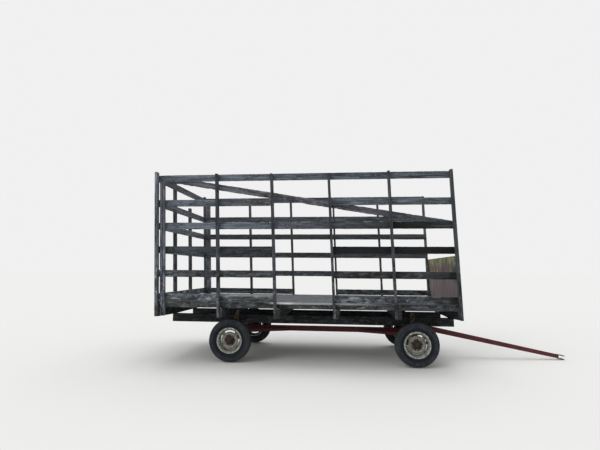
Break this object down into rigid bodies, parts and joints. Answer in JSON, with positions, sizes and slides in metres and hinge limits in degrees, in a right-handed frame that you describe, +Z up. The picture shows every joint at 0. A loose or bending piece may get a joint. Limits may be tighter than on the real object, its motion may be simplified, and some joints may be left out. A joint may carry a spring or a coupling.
{
  "type": "hay wagon",
  "caption": "Slatted wooden hay rack, with some boards missing, on a red steel running gear with free wheels, a steering tongue and a hitch clevis.",
  "frame": {"origin": "on the ground, under the middle of the whole wagon's box, tongue included", "axes": "+X forward along the tongue, +Y to the wagon's left, +Z up"},
  "size_m": [6.9773, 2.58, 3.13],
  "materials": {
    "grey_wood": "bare weathered silver-grey boards with dark checks",
    "panel_plywood": "delaminating pink-brown plywood with moss along its top edge",
    "ochre_wood": "worn ochre wood",
    "red_paint": "faded red paint with rust",
    "bare_steel": "rusted bare steel",
    "rim_paint": "chalky off-white paint with rust spots",
    "hub_rust": "rusted hub",
    "tyre_rubber": "dusty old rubber"
  },
  "bodies": {
    "wagon": {"axle_pins": "bare_steel", "bolster_spacers": "red_paint", "bolster_stakes": "ochre_wood", "corner_studs": "grey_wood", "cross_sills": "grey_wood", "deck_planks": "grey_wood", "front_axle": "red_paint", "front_bolster": "red_paint", "front_hounds": "red_paint", "front_panel": "panel_plywood", "front_uprights": "grey_wood", "long_sills": "grey_wood", "reach": "red_paint", "rear_axle": "red_paint", "rear_bolster": "red_paint", "rear_hounds": "red_paint", "rear_posts": "grey_wood", "rear_rails": "grey_wood", "rim_boards": "grey_wood", "side_brace": "grey_wood", "side_posts_left": "grey_wood", "side_posts_right": "grey_wood", "side_rails_left": "grey_wood", "side_rails_right": "grey_wood"},
    "steering": {"steering_plate": "red_paint", "tongue_pin": "bare_steel"},
    "tongue": {"tongue": "red_paint", "hitch_clevis": "bare_steel"},
    "knuckle_right": {"knuckle_right": "bare_steel"},
    "knuckle_left": {"knuckle_left": "bare_steel"},
    "tie_rod_right": {"tie_rod_right": "bare_steel"},
    "tie_rod_left": {"tie_rod_left": "bare_steel"},
    "wheel_front_right": {"tyre_front_right": "tyre_rubber", "rim_front_right": "rim_paint", "hub_front_right": "hub_rust"},
    "wheel_front_left": {"tyre_front_left": "tyre_rubber", "rim_front_left": "rim_paint", "hub_front_left": "hub_rust"},
    "wheel_rear_right": {"tyre_rear_right": "tyre_rubber", "rim_rear_right": "rim_paint", "hub_rear_right": "hub_rust"},
    "wheel_rear_left": {"tyre_rear_left": "tyre_rubber", "rim_rear_left": "rim_paint", "hub_rear_left": "hub_rust"}
  },
  "joints": [
    {"name": "tongue_steer", "type": "hinge", "parent": "wagon", "child": "steering", "pos_m": [0.94, 0, 0.372], "axis": [0, 0, 1], "range_deg": [-28, 28]},
    {"name": "tongue_lift", "type": "hinge", "parent": "steering", "child": "tongue", "pos_m": [1.225, 0, 0.48], "axis": [0, -1, 0], "range_deg": [0, 38]},
    {"name": "knuckle_right_turn", "type": "hinge", "parent": "wagon", "child": "knuckle_right", "pos_m": [0.84, -0.8, 0.35], "axis": [0, 0, 1], "range_deg": [-28, 28]},
    {"name": "knuckle_left_turn", "type": "hinge", "parent": "wagon", "child": "knuckle_left", "pos_m": [0.84, 0.8, 0.35], "axis": [0, 0, 1], "range_deg": [-28, 28]},
    {"name": "tie_rod_right_turn", "type": "hinge", "parent": "steering", "child": "tie_rod_right", "pos_m": [1.14, 0, 0.35], "axis": [0, 0, 1], "range_deg": [-28, 28]},
    {"name": "tie_rod_left_turn", "type": "hinge", "parent": "steering", "child": "tie_rod_left", "pos_m": [1.14, 0, 0.394], "axis": [0, 0, 1], "range_deg": [-28, 28]},
    {"name": "wheel_front_right_spin", "type": "hinge", "parent": "knuckle_right", "child": "wheel_front_right", "pos_m": [0.84, -0.965, 0.35], "axis": [0, 1, 0], "continuous": true},
    {"name": "wheel_front_left_spin", "type": "hinge", "parent": "knuckle_left", "child": "wheel_front_left", "pos_m": [0.84, 0.965, 0.35], "axis": [0, 1, 0], "continuous": true},
    {"name": "wheel_rear_right_spin", "type": "hinge", "parent": "wagon", "child": "wheel_rear_right", "pos_m": [-2.175, -0.965, 0.35], "axis": [0, 1, 0], "continuous": true},
    {"name": "wheel_rear_left_spin", "type": "hinge", "parent": "wagon", "child": "wheel_rear_left", "pos_m": [-2.175, 0.965, 0.35], "axis": [0, 1, 0], "continuous": true}
  ],
  "couplings": [
    {"joint": "knuckle_right_turn", "follows": "tongue_steer", "ratio": 1},
    {"joint": "knuckle_left_turn", "follows": "tongue_steer", "ratio": 1},
    {"joint": "tie_rod_right_turn", "follows": "tongue_steer", "ratio": -1},
    {"joint": "tie_rod_left_turn", "follows": "tongue_steer", "ratio": -1}
  ]
}
